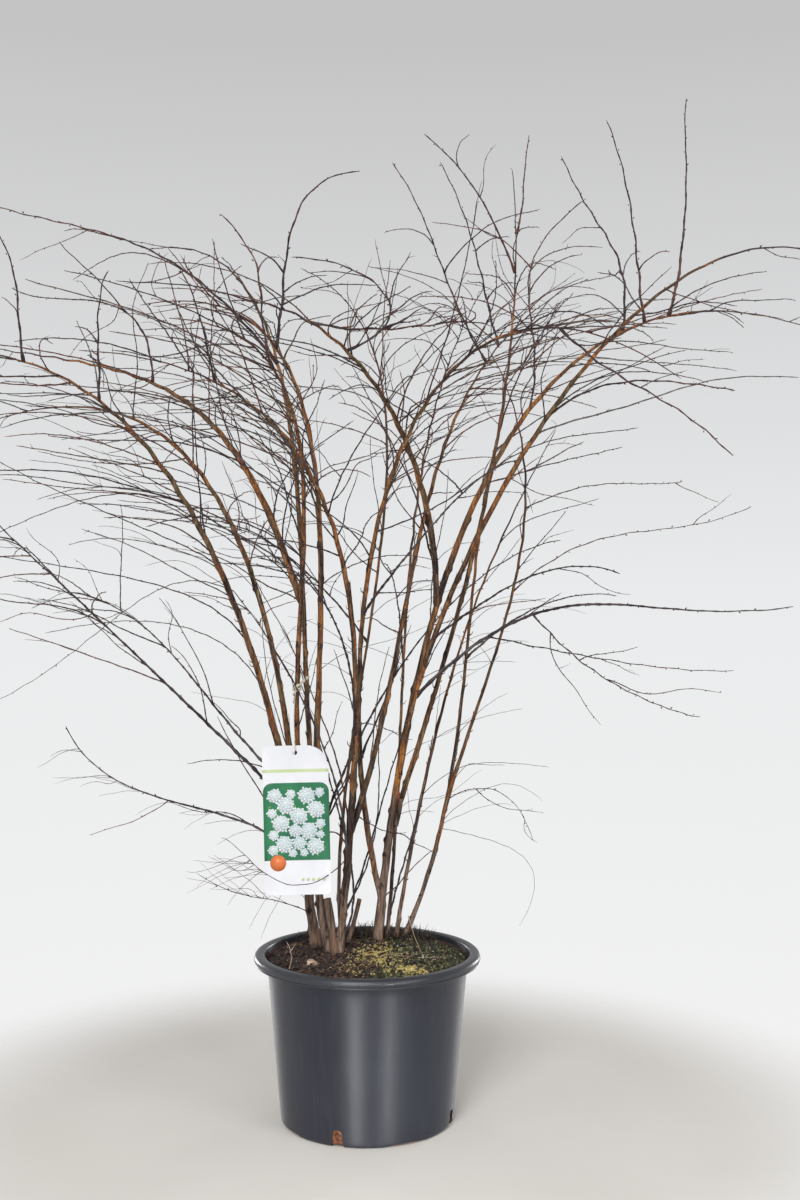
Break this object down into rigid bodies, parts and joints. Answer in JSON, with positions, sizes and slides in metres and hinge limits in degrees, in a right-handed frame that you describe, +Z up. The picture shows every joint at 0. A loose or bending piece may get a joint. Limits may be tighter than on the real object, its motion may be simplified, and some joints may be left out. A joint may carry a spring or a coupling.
{
  "type": "bare potted spirea shrub",
  "caption": "Leafless deciduous shrub with arching stems and a wide crown of fine twigs, growing in a round nursery pot of soil with a blank hanging plant label.",
  "frame": {"origin": "centre of the pot's flat underside", "axes": "+Z up the plant, -Y towards its front where the label hangs, +X to its right seen from the front"},
  "size_m": [1.4842, 1.1665, 1.6255],
  "materials": {
    "pot_plastic": "satin",
    "soil": "rough, moist",
    "label": "smooth card",
    "tie": "satin",
    "bark": "fibrous bark",
    "twigs": "smooth bark"
  },
  "bodies": {
    "root": {"pot": "pot_plastic", "soil": "soil", "label_card": "label", "label_tie": "tie", "stem_back": "bark", "stem_back_left": "bark", "stem_back_right": "bark", "stem_front": "bark", "stem_left": "bark", "stem_low_back": "bark", "stem_middle": "bark", "stem_right": "bark", "bough_back_right_2": "bark", "bough_front_2": "bark", "bough_left_2": "bark", "bough_middle_2": "bark", "bough_middle_3": "bark", "bough_middle_4": "bark", "bough_right_2": "bark", "bough_right_3": "bark", "bough_right_4": "bark", "bough_right_5": "bark", "twigs_back": "twigs", "twigs_back_left": "twigs", "twigs_back_right": "twigs", "twigs_back_right_2": "twigs", "twigs_front": "twigs", "twigs_front_2": "twigs", "twigs_left": "twigs", "twigs_left_2": "twigs", "twigs_low_back": "twigs", "twigs_low_back_1": "twigs", "twigs_low_back_2": "twigs", "twigs_low_back_3": "twigs", "twigs_low_front_1": "twigs", "twigs_low_front_2": "twigs", "twigs_low_front_3": "twigs", "twigs_low_front_4": "twigs", "twigs_low_left_1": "twigs", "twigs_low_left_2": "twigs", "twigs_low_left_3": "twigs", "twigs_low_left_4": "twigs", "twigs_low_right_1": "twigs", "twigs_low_right_2": "twigs", "twigs_low_right_3": "twigs", "twigs_middle": "twigs", "twigs_middle_2": "twigs", "twigs_middle_3": "twigs", "twigs_middle_4": "twigs", "twigs_right": "twigs", "twigs_right_2": "twigs", "twigs_right_3": "twigs", "twigs_right_4": "twigs", "twigs_right_5": "twigs"}
  },
  "joints": []
}
